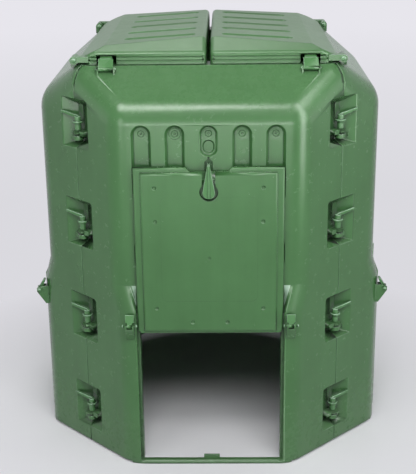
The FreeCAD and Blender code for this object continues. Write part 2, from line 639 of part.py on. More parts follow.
def door():
    """A front door with its lower edge at z = 0."""
    back = -DOOR_BACK
    flange_front = back - DOOR_FLANGE_DEPTH
    plate_front = back - DOOR_PLATE_DEPTH
    notch_top = DOOR_HEIGHT - DOOR_NOTCH_DROP
    notch_mouth = DOOR_NOTCH_HALF + DOOR_NOTCH_DROP
    foot_half = DOOR_HALF - DOOR_CORNER
    outline = [(-DOOR_HALF, DOOR_CORNER), (-foot_half, 0), (foot_half, 0), (DOOR_HALF, DOOR_CORNER),
               (DOOR_HALF, DOOR_HEIGHT), (notch_mouth, DOOR_HEIGHT), (DOOR_NOTCH_HALF, notch_top),
               (-DOOR_NOTCH_HALF, notch_top), (-notch_mouth, DOOR_HEIGHT), (-DOOR_HALF, DOOR_HEIGHT)]
    flange = prism([Vector(x, back, z) for x, z in outline], Vector(0, -DOOR_FLANGE_DEPTH, 0))
    front = [edge for edge in flange.Edges if abs(edge.BoundBox.YMax - flange_front) < TOUCH]
    flange = flange.makeFillet(DOOR_FLANGE_ROUND, front)
    half = DOOR_HALF - DOOR_FLANGE
    plate = box(-half, half, plate_front, back - DOOR_SKIN, DOOR_CORNER, notch_top)
    rim = [edge for edge in plate.Edges if abs(edge.BoundBox.YMax - plate_front) < TOUCH]
    plate = plate.makeFillet(DOOR_ROUND, rim)
    ears = [box(side * DOOR_HALF - EAR_REACH, side * DOOR_HALF + EAR_REACH, back - EAR_DEPTH, back,
                EAR_START, EAR_START + EAR_LENGTH) for side in (-1, 1)]
    dish_floor = back - DOOR_SKIN
    outside = plate_front - CUT_MARGIN
    dish = rod(LEVER_DISH_RADIUS, Vector(0, outside, LEVER_HUB_Z), Vector(0, dish_floor, LEVER_HUB_Z))
    bed_depth = DOOR_PLATE_DEPTH - 2 * DOOR_SKIN + CUT_MARGIN
    bed = lever_outline(LEVER_GAP, outside, DOOR_HEIGHT).extrude(Vector(0, bed_depth, 0))
    pits = []
    for across, up in DIMPLES:
        for share in sorted({-across, across}):
            mouth = Vector(share * DOOR_HALF, plate_front, up * DOOR_HEIGHT)
            pits.append(Part.makeCone(DIMPLE_RADIUS, DIMPLE_RADIUS / 2, DIMPLE_DEPTH, mouth, Vector(0, 1, 0)))
    panel_half = half - DOOR_PANEL_SIDE
    panel = box(-panel_half, panel_half, outside, plate_front + DOOR_PANEL_DEPTH,
                DOOR_CORNER + DOOR_PANEL_FOOT, notch_top - DOOR_PANEL_HEAD)
    deep = [edge for edge in panel.Edges if edge.BoundBox.YLength > DOOR_PANEL_DEPTH]
    panel = panel.makeFillet(DOOR_PANEL_ROUND, deep)
    low_top = LEVER_HUB_Z - LEVER_DISH_RADIUS - DOOR_SKIN
    inner = half - DOOR_SKIN
    hollow_front = plate_front + DOOR_SKIN
    hollow_back = back - DOOR_SKIN
    hollows = [box(-inner, inner, hollow_front, hollow_back, DOOR_CORNER + DOOR_SKIN, low_top)]
    for start, end in ((-inner, -LEVER_DISH_RADIUS - DOOR_SKIN), (LEVER_DISH_RADIUS + DOOR_SKIN, inner)):
        hollows.append(box(start, end, hollow_front, hollow_back, low_top + DOOR_SKIN, notch_top - DOOR_SKIN))
    pivot = rod(LEVER_PIVOT_RADIUS, *pivot_ends())
    return joined([flange, plate] + ears).cut([panel, dish, bed, pivot] + pits + hollows)


def pivot_ends():
    z = LEVER_HUB_Z + LEVER_PIVOT_RISE
    return Vector(-LEVER_PIVOT_HALF, -LEVER_PIVOT_OUT, z), Vector(LEVER_PIVOT_HALF, -LEVER_PIVOT_OUT, z)


def door_lever():
    """Rocker lever: a teardrop with a ridge, and a nose at its tip that reaches back to the wall."""
    plate_front = -DOOR_BACK - DOOR_PLATE_DEPTH
    blade = lever_outline(0, plate_front - LEVER_PROUD, 0).extrude(Vector(0, LEVER_PROUD + LEVER_SUNK, 0))
    nose_top = LEVER_TIP_Z - LEVER_TIP_RADIUS
    nose = box(-LEVER_TIP_RADIUS, LEVER_TIP_RADIUS, plate_front, -HALF + NOSE_ENTRY,
               nose_top - NOSE_LENGTH, nose_top)
    ridge = box(-LEVER_RIDGE, LEVER_RIDGE, plate_front - LEVER_PROUD - LEVER_RIDGE, plate_front,
                LEVER_HUB_Z - LEVER_HUB_RADIUS + LEVER_RIDGE, nose_top)
    bore = rod(LEVER_PIVOT_RADIUS + PIN_FIT, *pivot_ends())
    return joined([blade, nose, ridge]).cut(bore)


def corner_pin():
    """Pin standing on the origin of its pocket, with its lever along +X."""
    lug_top = -LUG_TOP_DROP + LUG_GAP
    lug_bottom = -LUG_TOP_DROP - 2 * LUG_HEIGHT - LUG_GAP
    shank_top = lug_top + PIN_SHANK_LENGTH
    collar_top = shank_top + PIN_COLLAR_LENGTH
    hub_top = collar_top + PIN_HUB_LENGTH
    levels = [(PIN_RADIUS, lug_bottom - PIN_TAIL, lug_top), (PIN_SHANK_RADIUS, lug_top, shank_top),
              (PIN_COLLAR_RADIUS, shank_top, collar_top), (PIN_HUB_RADIUS, collar_top, hub_top)]
    stack = [rod(radius, Vector(0, 0, low), Vector(0, 0, high)) for radius, low, high in levels]
    root = hub_top - PIN_LEVER_HEIGHT
    half = PIN_LEVER_WIDTH / 2
    tip = PIN_LEVER_LENGTH - half
    tip_low = root + PIN_LEVER_RISE
    tip_high = tip_low + PIN_LEVER_HEIGHT
    outline = [(-PIN_HUB_RADIUS, root), (0, root), (tip, tip_low), (tip, tip_high), (0, hub_top + half),
               (-PIN_HUB_RADIUS, hub_top)]
    blade = prism([Vector(x, -half, z) for x, z in outline], Vector(0, PIN_LEVER_WIDTH, 0))
    end = rod(half, Vector(tip, 0, tip_low - half / 2), Vector(tip, 0, tip_high))
    return joined(stack + [blade, end])


def placed_pin(side_x, side_y, z):
    """The corner pin at one corner, its lever leaning out towards the left or right wall."""
    axis = pin_axis(z)
    angle = 45 - PIN_REST_ANGLE
    lever = Vector(side_x * math.cos(math.radians(angle)), -side_y * math.sin(math.radians(angle)), 0)
    pin = turned(corner_pin(), math.degrees(math.atan2(lever.y, lever.x)))
    return moved(pin, side_x * axis.x, -side_y * axis.y, z)


def door_clip(x):
    """Flap that leans on the jamb above its bracket."""
    wide = CLIP_WIDTH / 2
    narrow = CLIP_BARREL_WIDTH / 2
    barrel = cross_rod(CLIP_BARREL_RADIUS, x, narrow, CLIP_Y, CLIP_Z)
    rest = -JAMB_FACE - CLIP_FLAP_GAP
    top = CLIP_Z + CLIP_FLAP_LENGTH
    neck_z = CLIP_Z + CLIP_CHEEK_RISE + CLIP_SIDE_GAP
    front = [(-CLIP_Y - CLIP_BARREL_RADIUS, CLIP_Z), (rest - CLIP_FLAP_THICKNESS, top), (rest, top),
             (rest, top - CLIP_FLAP_THICKNESS), (-CLIP_Y + CLIP_BARREL_RADIUS / 2, CLIP_Z)]
    neck = prism([Vector(x - narrow, y, z) for y, z in front], Vector(CLIP_BARREL_WIDTH, 0, 0))
    flap = prism([Vector(x - wide, y, z) for y, z in front], Vector(CLIP_WIDTH, 0, 0))
    flap = flap.common(box(x - wide, x + wide, -FAR, 0, neck_z, top))
    bore = cross_rod(CLIP_PIN_RADIUS + CLIP_FIT, x, wide, CLIP_Y, CLIP_Z)
    return joined([barrel, neck, flap]).cut(bore)


def clip_pin(x):
    return cross_rod(CLIP_PIN_RADIUS, x, CLIP_PIN_HALF, CLIP_Y, CLIP_Z)


def lid_outlines(lower):
    """Plan and side outlines of the right flap, its top lowered by the given amount."""
    base = LID_BASE - LID_RIDGE
    corner_x = LID_OUTER - LID_CORNER
    corner_y = LID_HALF - LID_CORNER
    plan = [(LID_HALF_GAP, -LID_HALF), (corner_x, -LID_HALF), (LID_OUTER, -corner_y), (LID_OUTER, corner_y),
            (corner_x, LID_HALF), (LID_HALF_GAP, LID_HALF)]
    side_x = [(LID_HALF_GAP, base), (LID_OUTER, base), (LID_OUTER, LID_BASE + LID_OUTER_SKIRT - lower),
              (LID_OUTER - LID_OUTER_SLOPE, LID_BASE + LID_BREAK_RISE - lower),
              (LID_HALF_GAP, LID_BASE + LID_RIDGE - lower)]
    shoulder = LID_BASE + LID_SKIRT - lower
    facet = LID_HALF - LID_FACET_RUN
    side_y = [(-LID_HALF, base), (LID_HALF, base), (LID_HALF, shoulder), (facet, shoulder + LID_FACET_RISE),
              (-facet, shoulder + LID_FACET_RISE), (-LID_HALF, shoulder)]
    return plan, side_x, side_y


def lid_flap():
    """The right lid flap: a shallow tray, open below, with long grooves in its top."""
    above = box(-FAR, FAR, -FAR, FAR, LID_BASE, FAR)
    outer = rounded(crossed(*lid_outlines(0), LID_ROUND), LID_ROUND).common(above)
    inner = crossed(*lid_outlines(LID_TOP - LID_SKIN), LID_SKIN)
    plan = inset(lid_outlines(0)[0], LID_LINE_DEPTH)
    lines = []
    for i in range(LID_LINES):
        low = LID_BASE + LID_LINE_PITCH * (i + 1)
        slab = box(-FAR, FAR, -FAR, FAR, low, low + LID_LINE_HEIGHT)
        lines.append(slab.cut(prism([Vector(x, y, low) for x, y in plan], Vector(0, 0, LID_LINE_HEIGHT))))
    notch_x0 = CATCH_X - CATCH_NOTCH / 2
    notch = box(notch_x0, notch_x0 + CATCH_NOTCH, -LID_HALF - CUT_MARGIN, -LID_HALF + LID_SKIN + CUT_MARGIN,
                LID_BASE - CUT_MARGIN, LID_BASE + CATCH_NOTCH_RISE)
    tilt = math.atan2(LID_RIDGE - LID_BREAK_RISE, LID_OUTER - LID_OUTER_SLOPE - LID_HALF_GAP)
    down_slope = Vector(math.cos(tilt), 0, -math.sin(tilt))
    across = Vector(0, 1, 0)
    ridge = Vector(LID_HALF_GAP, 0, LID_BASE + LID_RIDGE)
    middle = (LID_GROOVE_START + LID_GROOVE_END) / 2 - LID_HALF_GAP
    reach = (LID_GROOVE_END - LID_GROOVE_START) / 2 - LID_GROOVE_RADIUS
    grooves = []
    for i in range(LID_GROOVES):
        y = (i - (LID_GROOVES - 1) / 2) * LID_GROOVE_PITCH
        centre = ridge + down_slope * (middle / math.cos(tilt)) + Vector(0, y, 0)
        grooves.append(tapered_slot(centre, reach, LID_GROOVE_RADIUS, LID_GROOVE_FLOOR_RADIUS,
                                    LID_GROOVE_DEPTH, across, down_slope))
    tray = outer.cut([inner, notch, mirrored_y(notch)] + lines)
    knuckles = []
    bores = []
    for side in (-1, 1):
        end = side * LID_HALF
        start = side * (LID_HALF - HINGE_WIDTH)
        knuckles.append(rod(HINGE_RADIUS, hinge_place(start), hinge_place(end)))
        knuckles.append(box(HINGE_X - HINGE_ROOT, HINGE_X, min(start, end), max(start, end),
                            HINGE_Z - HINGE_RADIUS / 2, HINGE_Z + HINGE_RADIUS))
        past = side * CUT_MARGIN
        bores.append(rod(HINGE_PIN_RADIUS + HINGE_FIT, hinge_place(start - past), hinge_place(end + past)))
    return joined([tray] + knuckles).cut(grooves + bores)


def lid_hinge_pin(side):
    inner = side * (LID_HALF - 2 * HINGE_WIDTH - HINGE_SIDE_GAP)
    return rod(HINGE_PIN_RADIUS, hinge_place(inner), hinge_place(side * LID_HALF))


def lid_catch(x):
    """Catch that stands on the shoulder and leans its nose into the lid skirt's notch."""
    wide = CATCH_WIDTH / 2
    narrow = CATCH_NOSE_WIDTH / 2
    barrel = cross_rod(CATCH_BARREL_RADIUS, x, wide, CATCH_Y, CATCH_Z)
    bend_y = -RIM_HALF - CATCH_SIDE_GAP
    bend_z = RIM_HEIGHT + CATCH_SHOULDER
    tip_y = -LID_HALF + CATCH_ENTRY
    tip_z = RIM_HEIGHT + CATCH_RISE
    outer_bend = (bend_y - CATCH_THICKNESS, bend_z + CATCH_THICKNESS)
    lower = [(-CATCH_Y - CATCH_BARREL_RADIUS, CATCH_Z), outer_bend, (bend_y, bend_z),
             (-CATCH_Y + CATCH_BARREL_RADIUS, CATCH_Z)]
    upper = [outer_bend, (tip_y, tip_z), (tip_y, tip_z - CATCH_THICKNESS), (bend_y, bend_z)]
    strap = prism([Vector(x - wide, y, z) for y, z in lower], Vector(CATCH_WIDTH, 0, 0))
    nose = prism([Vector(x - narrow, y, z) for y, z in upper], Vector(CATCH_NOSE_WIDTH, 0, 0))
    bore = cross_rod(CATCH_PIN_RADIUS + CATCH_FIT, x, wide, CATCH_Y, CATCH_Z)
    return joined([barrel, strap, nose]).cut(bore)


def catch_pin(x):
    half = CATCH_WIDTH / 2 + CATCH_SIDE_GAP + CATCH_EAR
    return cross_rod(CATCH_PIN_RADIUS, x, half, CATCH_Y, CATCH_Z)


def main():
    os.makedirs("parts", exist_ok=True)
    nodes = {}
    steep = wall("steep")
    ramp = wall("ramp")
    for side, degrees in WALL_TURNS.items():
        nodes[side + "_wall"] = turned(steep if side in ("front", "back") else ramp, degrees)

    leaf = door()
    lever = door_lever()
    pivot = rod(LEVER_PIVOT_RADIUS, *pivot_ends())
    for side, degrees in WALL_TURNS.items():
        rise = DOOR_RAISED_Z if side == "front" else DOOR_CLOSED_Z
        for name, shape in (("door", leaf), ("door_lever", lever), ("lever_pivot", pivot)):
            nodes[side + "_" + name] = turned(moved(shape, 0, 0, rise), degrees)

    for corner, (side_x, side_y) in CORNERS.items():
        for i, z in enumerate(pocket_heights()):
            nodes["corner_pin_%s_%d" % (corner, i + 1)] = placed_pin(side_x, side_y, z)

    clip_pins = []
    for side, degrees in WALL_TURNS.items():
        for hand, x in (("left", -CLIP_X), ("right", CLIP_X)):
            nodes["door_clip_%s_%s" % (side, hand)] = turned(door_clip(x), degrees)
            clip_pins.append(turned(clip_pin(x), degrees))
    nodes["door_clip_pins"] = Part.makeCompound(clip_pins)

    flap = lid_flap()
    nodes["right_lid_flap"] = flap
    nodes["left_lid_flap"] = turned(flap, 180)
    hinge_pins = [lid_hinge_pin(-1), lid_hinge_pin(1)]
    nodes["lid_hinge_pins"] = Part.makeCompound(hinge_pins + [turned(pin, 180) for pin in hinge_pins])

    catch_pins = []
    for side in ("front", "back"):
        for hand, x in (("left", -CATCH_X), ("right", CATCH_X)):
            nodes["lid_catch_%s_%s" % (side, hand)] = turned(lid_catch(x), WALL_TURNS[side])
            catch_pins.append(turned(catch_pin(x), WALL_TURNS[side]))
    nodes["lid_catch_pins"] = Part.makeCompound(catch_pins)

    for name, shape in nodes.items():
        shape.exportStep("parts/%s.step" % name)
        bounds = shape.BoundBox
        print("%-26s solids %2d valid %s volume %10.0f  z %.1f to %.1f"
              % (name, len(shape.Solids), shape.isValid(), shape.Volume, bounds.ZMin, bounds.ZMax))


main()
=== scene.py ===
# %% [markdown]
# # A compost bin of moulded green plastic
# The bin has eight sides: four double-skinned walls that plug together at the cut corners, a sliding door
# in each wall, and a lid of two flaps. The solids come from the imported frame, and this lesson gives them
# the soft edges, the satin skin and the light of a studio. Everything is in metres, with +Z up and the
# open doorway towards -Y.

# %% Load the frame
import json
import math

import bmesh
import bpy
import numpy as np
from mathutils import Matrix, Vector

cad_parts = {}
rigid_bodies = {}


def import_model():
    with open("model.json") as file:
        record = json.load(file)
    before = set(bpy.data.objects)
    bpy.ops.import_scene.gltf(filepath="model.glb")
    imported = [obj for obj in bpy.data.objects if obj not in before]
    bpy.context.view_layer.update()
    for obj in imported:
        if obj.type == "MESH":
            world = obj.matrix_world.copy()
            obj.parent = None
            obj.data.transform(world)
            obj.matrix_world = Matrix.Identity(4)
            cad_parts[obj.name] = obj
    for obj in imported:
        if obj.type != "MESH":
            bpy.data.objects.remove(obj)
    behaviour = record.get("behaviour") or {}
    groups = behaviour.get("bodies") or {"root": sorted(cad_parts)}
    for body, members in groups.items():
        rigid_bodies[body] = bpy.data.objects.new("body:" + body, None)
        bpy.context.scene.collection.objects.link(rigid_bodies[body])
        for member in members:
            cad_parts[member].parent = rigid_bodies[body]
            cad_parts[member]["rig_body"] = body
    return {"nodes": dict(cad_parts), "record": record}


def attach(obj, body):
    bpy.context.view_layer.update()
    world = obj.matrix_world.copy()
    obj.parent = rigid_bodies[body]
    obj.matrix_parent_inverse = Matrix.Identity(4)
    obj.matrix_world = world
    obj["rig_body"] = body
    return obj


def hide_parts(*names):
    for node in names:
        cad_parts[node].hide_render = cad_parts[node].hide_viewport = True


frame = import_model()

MM = 0.001
nodes = frame["nodes"]
slot_of = {part["node"]: part["material_slot"] for part in frame["record"]["subparts"]}
scene = bpy.context.scene
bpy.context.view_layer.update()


def put(title, data):
    """A new object in the scene."""
    made = bpy.data.objects.new(title, data)
    scene.collection.objects.link(made)
    return made


# %% [markdown]
# ## Camera
# The picture is taken from a little above the lid, almost square on. A camera is three directions and a
# place. Its turn could be given as angles, but Blender's camera looks down its own -Z, so it is plainer
# to work out the directions that point right, up and back, and to put them in the columns of a matrix.

# %% Place the camera
PHOTO_HEIGHT_PX = 474
FOCAL_PX = 1092.41
SENSOR_MM = 36.0
CAMERA_PLACE = Vector((0.0410, -2.7380, 1.3799))
PITCH_DOWN, YAW, ROLL = (math.radians(a) for a in (18.99, -1.084, -0.684))

ahead = Vector((math.sin(YAW) * math.cos(PITCH_DOWN), math.cos(YAW) * math.cos(PITCH_DOWN),
                -math.sin(PITCH_DOWN)))
level = Vector((math.cos(YAW), -math.sin(YAW), 0.0))
overhead = level.cross(ahead)
right = math.cos(ROLL) * level + math.sin(ROLL) * overhead
up = math.cos(ROLL) * overhead - math.sin(ROLL) * level

camera_data = bpy.data.cameras.new("studio_camera")
camera_data.sensor_fit = "VERTICAL"
camera_data.sensor_height = SENSOR_MM
camera_data.lens = FOCAL_PX / PHOTO_HEIGHT_PX * SENSOR_MM
camera = put("studio_camera", camera_data)
turn = Matrix((right, up, -ahead)).transposed()
camera.matrix_world = Matrix.Translation(CAMERA_PLACE) @ turn.to_4x4()
scene.camera = camera
print("camera: lens %.1f mm, %.2f m in front of the bin's middle" % (camera_data.lens, -CAMERA_PLACE.y))

# %% [markdown]
# ## Node helpers
# A finish is a small network of nodes. Short helpers keep the networks readable: one feeds a node's
# inputs, one adds a node, and one starts a node group with named sockets. An effect that several finishes
# share goes in such a group, so that it is built once.

# %% Helpers for networks of nodes
NUMBER, VECTOR, SHAPE = "NodeSocketFloat", "NodeSocketVector", "NodeSocketGeometry"


def feed(tree, node, values):
    """Give a node's inputs, by name or number, a link from another node or a plain value."""
    for key, value in values.items():
        if isinstance(value, bpy.types.NodeSocket):
            tree.links.new(value, node.inputs[key])
        else:
            node.inputs[key].default_value = value


def add(tree, kind, values=None, **settings):
    """Add a node, set its properties and feed its inputs."""
    made = tree.nodes.new(kind)
    for key, value in settings.items():
        setattr(made, key, value)
    feed(tree, made, values or {})
    return made


def start_group(title, inputs, outputs, kind="ShaderNodeTree"):
    """A node group with named sockets, its input node and its output node."""
    group = bpy.data.node_groups.new(title, kind)
    for label, socket, value in inputs:
        made = group.interface.new_socket(name=label, in_out="INPUT", socket_type=socket)
        if value is not None:
            made.default_value = value
    for label, socket in outputs:
        group.interface.new_socket(name=label, in_out="OUTPUT", socket_type=socket)
    return group, group.nodes.new("NodeGroupInput"), group.nodes.new("NodeGroupOutput")


print("node helpers ready")

# %% [markdown]
# ## Nodes that come up often
# The same few nodes make up most finishes: arithmetic on two values, a change of range, a mix of two
# colours and a noise. Each gets a helper that adds the node and hands back its output, so a network reads
# like a formula.

# %% Helpers for single nodes
def maths(tree, operation, one, two, use_clamp=False):
    """Arithmetic on two values."""
    return add(tree, "ShaderNodeMath", {0: one, 1: two}, operation=operation, use_clamp=use_clamp).outputs[0]


def remap(tree, value, low, high, to_low=0.0, to_high=1.0):
    """A value whose range from low to high is moved to another range, and held within it."""
    return add(tree, "ShaderNodeMapRange", {"Value": value, "From Min": low, "From Max": high,
                                            "To Min": to_low, "To Max": to_high}).outputs["Result"]


def blend(tree, factor, one, two):
    """A colour between two others."""
    return add(tree, "ShaderNodeMix", {0: factor, 6: one, 7: two}, data_type="RGBA").outputs[2]


def noise(tree, place, scale, detail, roughness=0.5, distortion=0.0):
    """Noise between zero and one, with about as many waves to a unit of the place as the scale says."""
    return add(tree, "ShaderNodeTexNoise", {"Vector": place, "Scale": scale, "Detail": detail,
                                            "Roughness": roughness, "Distortion": distortion}).outputs["Fac"]


def upward(tree, vector):
    """The Z part of a vector."""
    return add(tree, "ShaderNodeSeparateXYZ", {0: vector}).outputs["Z"]


def own_place(tree):
    """The place on the object, in metres."""
    return add(tree, "ShaderNodeTexCoord").outputs["Object"]


def surface_normal(tree):
    """The direction that the surface faces."""
    return add(tree, "ShaderNodeNewGeometry").outputs["Normal"]


def looked_at(tree):
    """One where the camera or a reflection looks, and zero where light is gathered."""
    path = add(tree, "ShaderNodeLightPath").outputs
    return maths(tree, "MAXIMUM", path["Is Camera Ray"], path["Is Glossy Ray"])


print("single node helpers ready")

# %% [markdown]
# ## The skin of a moulding
# Moulded plastic copies its tool: a fine spark-eroded grain, broad shallow waves where the thick spots
# cooled last, and faint streaks where the melt ran. Painted pictures could show these, but noise on
# Object coordinates needs no unwrapping and has its true size in metres on every piece. The group hands
# out heights and tones only.

# %% Group: mould skin
GRAIN_SCALE, WAVE_SCALE, MOTTLE_SCALE, PATCH_SCALE = 600.0, 13.0, 6.0, 55.0
STREAK_SCALES = (38.0, 38.0, 2.5)
STREAK_SHARE = 0.35


def mould_skin_group():
    labels = ("Grain", "Wave", "Tone", "Patch")
    group, _, result = start_group("mould_skin", [], [(label, NUMBER) for label in labels])
    place = own_place(group)
    stretched = add(group, "ShaderNodeMapping", {"Vector": place, "Scale": STREAK_SCALES}).outputs["Vector"]
    mottle = noise(group, place, MOTTLE_SCALE, detail=5.0, roughness=0.6)
    streak = noise(group, stretched, 1.0, detail=3.0)
    tone = add(group, "ShaderNodeMix", {"Factor": STREAK_SHARE, "A": mottle, "B": streak}, data_type="FLOAT")
    feed(group, result, {"Grain": noise(group, place, GRAIN_SCALE, detail=1.0),
                         "Wave": noise(group, place, WAVE_SCALE, detail=1.0, roughness=0.4),
                         "Tone": tone.outputs["Result"],
                         "Patch": noise(group, place, PATCH_SCALE, detail=4.0, roughness=0.65)})
    return group


mould_skin = mould_skin_group()
print("group mould_skin:", len(mould_skin.nodes), "nodes")

# %% [markdown]
# ## Pale edges and painted shade in corners
# Outer edges are painted pale, partly as wear from hands, gloves and stacking and partly as a painted
# highlight, the fine bright line that light draws along an edge. Inner corners get painted shade. The
# mesh itself says where: its roundings carry attributes for pale edges and for nooks. An ambient occlusion
# node finds the other crevices, such as the gap behind a pin, and paints shade into them too. Noise breaks
# both up, so that no edge is pale evenly along its whole length. Hands and tools come from above, and so
# does the light, so edges that look up are painted palest. What is painted pale gets no painted shade.

# %% Group: rub highlights and painted shade
# How far the painted shade reaches into crevices, and the noise that breaks up the pale edges and the shade.
CREVICE = 30 * MM
CREVICE_SAMPLES = 12
CREVICE_SHADE = (0.40, 0.85)
RUB_HIGHLIGHT_SCALE, RUB_HIGHLIGHT_GAPS = 30.0, (0.20, 0.55)
PAINTED_SHADE_SCALE, PAINTED_SHADE_GAPS = 18.0, (0.15, 0.60)
RUB_HIGHLIGHT_RISE, RUB_HIGHLIGHT_FROM_BELOW = (-0.1, 0.5), 0.25


def rub_highlight_and_shade_group():
    group, given, result = start_group("rub_highlight_and_shade", [("Rub Highlight", NUMBER, 0.5), ("Painted Shade", NUMBER, 0.5)],
                                       [("Rub Highlit", NUMBER), ("Painted Shade Mask", NUMBER)])
    place = own_place(group)

    def broken_up(mask, scale, gaps, amount):
        """A mask with gaps from noise, times one of the group's amounts."""
        open_spots = remap(group, noise(group, place, scale, detail=5.0, roughness=0.7), *gaps)
        spots = maths(group, "MULTIPLY", mask, open_spots)
        return maths(group, "MULTIPLY", spots, given.outputs[amount], use_clamp=True)

    # Pale edges: the rub mark, partly wear and partly a painted highlight, strongest where the surface looks
    # up.
    from_above = remap(group, upward(group, surface_normal(group)), *RUB_HIGHLIGHT_RISE, to_low=RUB_HIGHLIGHT_FROM_BELOW)
    rub_highlight = add(group, "ShaderNodeAttribute", attribute_name="rub_highlight").outputs["Fac"]
    rub_highlit = broken_up(maths(group, "MULTIPLY", rub_highlight, from_above), RUB_HIGHLIGHT_SCALE, RUB_HIGHLIGHT_GAPS, "Rub Highlight")

    # Painted shade: ambient occlusion and the nook mark darken crevices and inner corners.
    shelter = add(group, "ShaderNodeAmbientOcclusion", {"Distance": CREVICE}, samples=CREVICE_SAMPLES)
    crevice = remap(group, shelter.outputs["AO"], *CREVICE_SHADE, to_low=1.0, to_high=0.0)
    nook = add(group, "ShaderNodeAttribute", attribute_name="nook").outputs["Fac"]
    painted_shade_mask = broken_up(maths(group, "MAXIMUM", nook, crevice), PAINTED_SHADE_SCALE, PAINTED_SHADE_GAPS, "Painted Shade")
    # Where an edge is painted pale, no painted shade is laid.
    clear_of_rub_highlight = maths(group, "SUBTRACT", 1.0, rub_highlit)
    feed(group, result, {"Rub Highlit": rub_highlit, "Painted Shade Mask": maths(group, "MULTIPLY", painted_shade_mask, clear_of_rub_highlight)})
    return group


rub_highlight_and_shade = rub_highlight_and_shade_group()
print("group rub_highlight_and_shade:", len(rub_highlight_and_shade.nodes), "nodes")

# %% [markdown]
# ## Dust
# Even a new bin carries a thin film of dust where faces look up, and a little more splashed near the
# ground. The face's own normal tells what looks up, and the height above the ground comes from the same
# Object coordinates as the grain, because every piece keeps its place in its mesh.

# %% Group: settled dust
DUST_SCALE = 24.0
DUST_RISE = (0.35, 1.0)
SPLASH_HEIGHT = 0.16


def settled_dust_group():
    group, given, result = start_group("settled_dust", [("Film", NUMBER, 0.1), ("Splash", NUMBER, 0.1)],
                                       [("Dust", NUMBER)])
    place = own_place(group)
    looks_up = remap(group, upward(group, surface_normal(group)), *DUST_RISE)
    low_down = remap(group, upward(group, place), SPLASH_HEIGHT, 0.0)
    film = maths(group, "MULTIPLY", looks_up, given.outputs["Film"])
    splash = maths(group, "MULTIPLY", low_down, given.outputs["Splash"])
    spread = noise(group, place, DUST_SCALE, detail=6.0, roughness=0.7)
    dust = maths(group, "MULTIPLY", maths(group, "ADD", film, splash), spread, use_clamp=True)
    feed(group, result, {"Dust": dust})
    return group


settled_dust = settled_dust_group()
print("group settled_dust:", len(settled_dust.nodes), "nodes")

# %% [markdown]
# ## The green finishes
# All the plastic is one green, but each family of pieces comes from its own tool: the walls are satin,
# the doors a little smoother, the lid flaps catch dust, and the small solid fittings are glossier. The
# fittings' green is painted a shade lighter, a painted highlight for the light they catch. One function
# makes all four from the shared groups, and each finish has its own values.

# %% Make a moulded finish
PLASTIC_IOR = 1.50
TONE_RANGE, PATCH_RANGE = (0.3, 0.7), (0.25, 0.75)
GLOSSIER, DULLER = -0.03, 0.04
WAVE_STRENGTH, WAVE_DEPTH, GRAIN_DEPTH = 0.25, 1.2 * MM, 0.12 * MM
# Pale green for edges, part wear and part painted highlight; dark green for painted shade in crevices and
# corners.
RUB_HIGHLIGHT_GREEN = (0.36, 0.52, 0.39, 1.0)
PAINTED_SHADE_GREEN = (0.022, 0.050, 0.024, 1.0)
DUST_GREY = (0.46, 0.47, 0.42, 1.0)


def new_finish(title):
    """A material with nodes, and its tree."""
    finish = bpy.data.materials.new(title)
    finish.use_nodes = True
    return finish, finish.node_tree


def moulded_finish(title, greens, rough, grain, rub_highlight, painted_shade, film, splash):
    """A finish between two greens, with how much it has of each effect."""
    finish, tree = new_finish(title)
    skin = add(tree, "ShaderNodeGroup", node_tree=mould_skin).outputs
    marks = add(tree, "ShaderNodeGroup", {"Rub Highlight": rub_highlight, "Painted Shade": painted_shade}, node_tree=rub_highlight_and_shade).outputs
    settled = add(tree, "ShaderNodeGroup", {"Film": film, "Splash": splash}, node_tree=settled_dust)
    dust = settled.outputs["Dust"]

    colour = blend(tree, remap(tree, skin["Tone"], *TONE_RANGE), *greens)
    # Over the tone: pale edges (wear and painted highlight), painted shade, then dust.
    for mask, paint in ((marks["Rub Highlit"], RUB_HIGHLIGHT_GREEN), (marks["Painted Shade Mask"], PAINTED_SHADE_GREEN), (dust, DUST_GREY)):
        colour = blend(tree, mask, colour, paint)
    gloss = remap(tree, skin["Patch"], *PATCH_RANGE, rough + GLOSSIER, rough + DULLER)
    wave = add(tree, "ShaderNodeBump",
               {"Strength": WAVE_STRENGTH, "Distance": WAVE_DEPTH, "Height": skin["Wave"]})
    fine = add(tree, "ShaderNodeBump", {"Strength": grain, "Distance": GRAIN_DEPTH, "Height": skin["Grain"],
                                        "Normal": wave.outputs["Normal"]})
    feed(tree, tree.nodes["Principled BSDF"], {
        "Base Color": colour, "Roughness": maths(tree, "ADD", gloss, dust), "Normal": fine.outputs["Normal"],
        "IOR": PLASTIC_IOR})
    return finish


PANEL_GREENS = ((0.046, 0.145, 0.041, 1.0), (0.061, 0.178, 0.056, 1.0))
# The fittings' greens: the panels' plastic painted a shade lighter, as a painted highlight.
LIT_FITTING_GREENS = ((0.058, 0.180, 0.054, 1.0), (0.076, 0.222, 0.071, 1.0))
finishes = {
    "wall_plastic": moulded_finish("satin_wall_green", PANEL_GREENS, rough=0.25, grain=0.10, rub_highlight=0.45,
                                   painted_shade=0.85, film=0.06, splash=0.08),
    "door_plastic": moulded_finish("smooth_door_green", PANEL_GREENS, rough=0.24, grain=0.08, rub_highlight=0.80,
                                   painted_shade=0.85, film=0.05, splash=0.05),
    "lid_plastic": moulded_finish("lid_green", PANEL_GREENS, rough=0.30, grain=0.10, rub_highlight=0.80,
                                  painted_shade=0.75, film=0.12, splash=0.0),
    "fitting_plastic": moulded_finish("glossy_fitting_green", LIT_FITTING_GREENS, rough=0.18, grain=0.06,
                                      rub_highlight=0.95, painted_shade=0.95, film=0.03, splash=0.0),
}
print("finishes:", ", ".join(finish.name for finish in finishes.values()))

